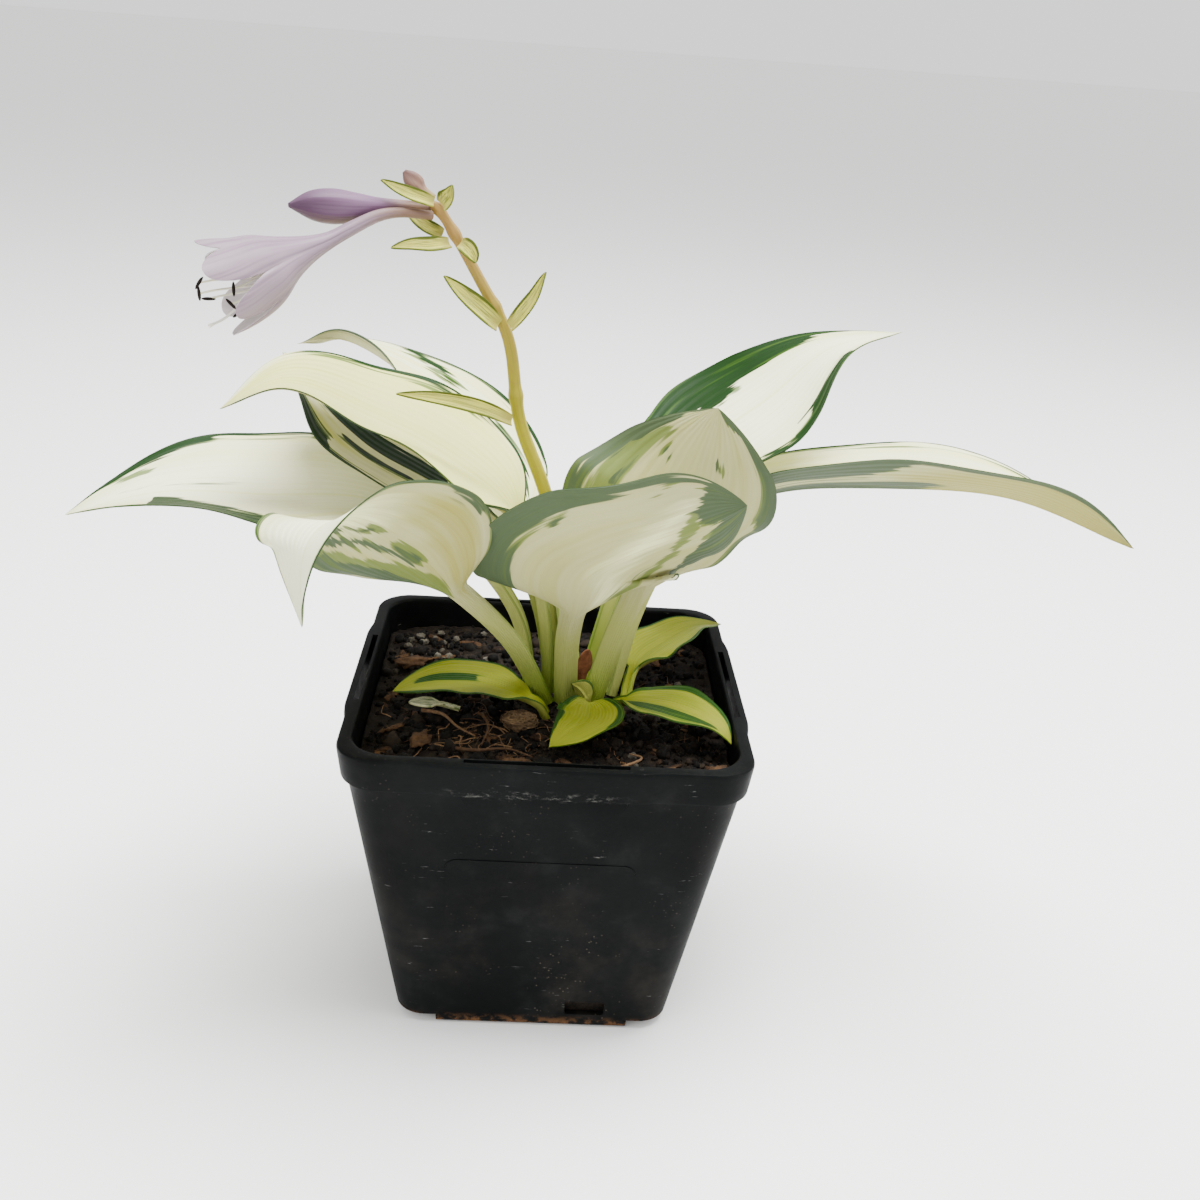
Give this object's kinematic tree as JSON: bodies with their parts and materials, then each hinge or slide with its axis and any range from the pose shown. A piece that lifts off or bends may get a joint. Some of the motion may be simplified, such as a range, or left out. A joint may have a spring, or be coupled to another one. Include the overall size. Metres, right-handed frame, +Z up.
{
  "type": "potted hosta plant",
  "caption": "Young hosta with cream-centred, green-edged leaves and a nodding flower stalk, growing in peat in a square charcoal plastic nursery pot.",
  "frame": {"origin": "centre of the flat underside of the pot, where it rests on the ground", "axes": "+Z up, -Y towards the front of the pot, +X to the right seen from the front"},
  "size_m": [0.2757, 0.1652, 0.2235],
  "materials": {
    "pot": "satin moulded charcoal plastic, lightly dusty",
    "soil": "loose dark peat, matt",
    "crown": "matt plant tissue",
    "leaf": "soft satin leaf, cream-white centre with irregular dark green margins, greyer glaucous underside",
    "leaf_low": "soft satin young leaf, yellow-green with dark green margins",
    "scape": "satin straw-yellow stalk, pinkish brown at its top",
    "bract": "matt yellow-green with darker edges",
    "flower_open": "soft matt petals, pale lilac-white over a brownish pink tube",
    "flower_bud": "soft matt, deep purple with darker veins",
    "bud_young": "matt brownish mauve",
    "stamen": "pale filament with a dark anther",
    "style": "pale, satin",
    "sheath": "dry reddish-brown husk",
    "perlite": "porous pale grain, matt",
    "bark": "rough brown bark chip",
    "clump": "fibrous tan root clump, matt",
    "root": "dry fibrous root, matt"
  },
  "bodies": {
    "root": {"bark_1": "bark", "bark_2": "bark", "bark_3": "bark", "bark_4": "bark", "bark_5": "bark", "bark_6": "bark", "bract_low": "bract", "bract_mid_left": "bract", "bract_mid_right": "bract", "bract_top_long": "bract", "bract_top_right": "bract", "bract_upper_long": "bract", "bract_upper_right": "bract", "bract_upper_short": "bract", "bud_young": "bud_young", "clump": "clump", "crown": "crown", "flower_bud": "flower_bud", "flower_open": "flower_open", "leaf_back": "leaf", "leaf_back_left": "leaf", "leaf_buried": "leaf", "leaf_front": "leaf", "leaf_front_left": "leaf", "leaf_front_right": "leaf", "leaf_left": "leaf", "leaf_low_back_right": "leaf_low", "leaf_low_front": "leaf_low", "leaf_low_left": "leaf_low", "leaf_low_right": "leaf_low", "leaf_low_shoot": "leaf_low", "leaf_right": "leaf", "leaf_upper_left": "leaf", "leaf_upper_right": "leaf", "perlite_1": "perlite", "perlite_2": "perlite", "perlite_3": "perlite", "perlite_4": "perlite", "perlite_5": "perlite", "perlite_6": "perlite", "pot": "pot", "root_1": "root", "root_2": "root", "root_3": "root", "root_4": "root", "scape": "scape", "sheath_dry": "sheath", "soil": "soil", "stamen_1": "stamen", "stamen_2": "stamen", "stamen_3": "stamen", "stamen_4": "stamen", "stamen_5": "stamen", "stamen_6": "stamen", "style": "style"}
  },
  "joints": []
}
